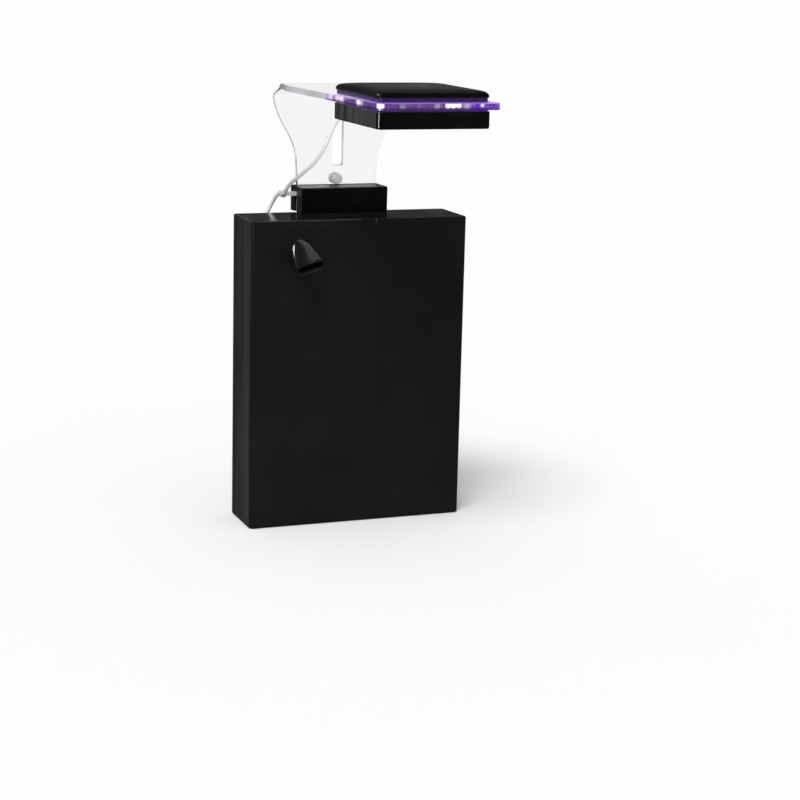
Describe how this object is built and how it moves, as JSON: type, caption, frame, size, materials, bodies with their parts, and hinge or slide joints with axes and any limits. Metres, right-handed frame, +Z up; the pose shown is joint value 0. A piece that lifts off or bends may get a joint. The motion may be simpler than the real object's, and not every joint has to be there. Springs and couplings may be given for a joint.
{
  "type": "hang on back filter",
  "caption": "Slim black box filter that hangs by a block from an aquarium's rear pane, with a swivelling outlet nozzle and a lamp on a clear bent arm.",
  "frame": {"origin": "middle of the rim seat, where the top edge of the tank's rear pane bears; the pane's mid-plane is Y = 0", "axes": "+Z up, +X to the viewer's right seen from inside the tank, +Y to the rear, out of the tank; the outlet and the lamp point towards -Y"},
  "size_m": [0.195, 0.3229, 0.387],
  "materials": {
    "black_gloss": "polished black moulding with fine wipe marks",
    "black_satin": "fine-grained black moulding",
    "clear_acrylic": "polished clear sheet",
    "purple_glow": "edge-lit translucent purple",
    "black_rubber": "soft black rubber",
    "clear_silicone": "translucent silicone",
    "grey_plastic": "translucent grey moulding",
    "screw_steel": "turned stainless steel",
    "frosted_lens": "frosted window",
    "board_white": "white solder mask",
    "led_phosphor": "yellow phosphor",
    "spreader_aluminium": "extruded, fine lines",
    "pump_grey": "dark grey moulding",
    "basket_grey": "charcoal moulding",
    "impeller_white": "white acetal",
    "magnet_dark": "sintered ferrite",
    "shaft_ceramic": "ground white ceramic",
    "media_ceramic": "porous unglazed ceramic",
    "foam_black": "open-cell foam",
    "floss_white": "loose polyester wadding",
    "pouch_mesh": "fine mesh over carbon grains",
    "lead_clear": "milky clear cable jacket",
    "plug_black": "moulded connector"
  },
  "bodies": {
    "filter": {"housing": "black_gloss", "pump_divider": "black_satin", "media_divider": "black_satin", "wall_bumpers": "black_rubber", "hanger_block": "black_satin", "hanger_screws": "screw_steel", "rim_seat_pad": "clear_silicone", "glass_pads": "clear_silicone", "lead_clip": "grey_plastic", "pump_body": "pump_grey", "pump_cover": "pump_grey", "impeller_shaft": "shaft_ceramic", "shaft_bushes": "black_rubber", "pump_feet": "black_rubber", "pump_gland": "black_rubber", "riser_pipe": "pump_grey", "outlet_elbow": "pump_grey", "wall_grommet": "black_rubber", "sponge": "foam_black", "media_basket": "basket_grey", "ceramic_rings": "media_ceramic", "carbon_pouch": "pouch_mesh", "floss_pad": "floss_white", "lead_tube": "lead_clear", "lead_coil": "lead_clear", "lead_tail": "lead_clear", "coil_tie": "black_rubber", "lead_plug": "plug_black"},
    "lamp": {"lamp_arm": "clear_acrylic", "stop_screw": "grey_plastic", "lamp_lower_shell": "black_gloss", "lower_glow_spacer": "purple_glow", "upper_glow_spacer": "purple_glow", "lamp_top_shell": "black_satin", "lamp_screws": "screw_steel", "lamp_lens": "frosted_lens", "led_board": "board_white", "leds": "led_phosphor", "heat_spreader": "spreader_aluminium", "lead_gland": "black_rubber"},
    "lid": {"lid": "black_gloss"},
    "nozzle": {"outlet_nozzle": "black_gloss"},
    "impeller": {"impeller": "impeller_white", "rotor_magnet": "magnet_dark"},
    "flow_slider": {"flow_slider": "grey_plastic"},
    "stop_knob": {"stop_knob": "grey_plastic"}
  },
  "joints": [
    {"name": "lamp_height", "type": "slide", "parent": "filter", "child": "lamp", "axis": [0, 0, 1], "range_m": [0, 0.012], "deforming": ["lead_tube"]},
    {"name": "stop_knob_turn", "type": "hinge", "parent": "lamp", "child": "stop_knob", "pos_m": [0, 0.0145, 0.0153], "axis": [0, 1, 0], "range_deg": [0, 360]},
    {"name": "lid_lift", "type": "slide", "parent": "filter", "child": "lid", "axis": [0, 0, 1], "range_m": [0, 0.012]},
    {"name": "nozzle_swivel", "type": "hinge", "parent": "filter", "child": "nozzle", "pos_m": [-0.058, -0.065, -0.036], "axis": [0, 1, 0], "range_deg": [-74, 105]},
    {"name": "impeller_spin", "type": "hinge", "parent": "filter", "child": "impeller", "pos_m": [-0.067, -0.042, -0.251], "axis": [0, 1, 0], "continuous": true},
    {"name": "flow_adjust", "type": "slide", "parent": "filter", "child": "flow_slider", "axis": [0, 0, 1], "range_m": [0, 0.01]}
  ]
}
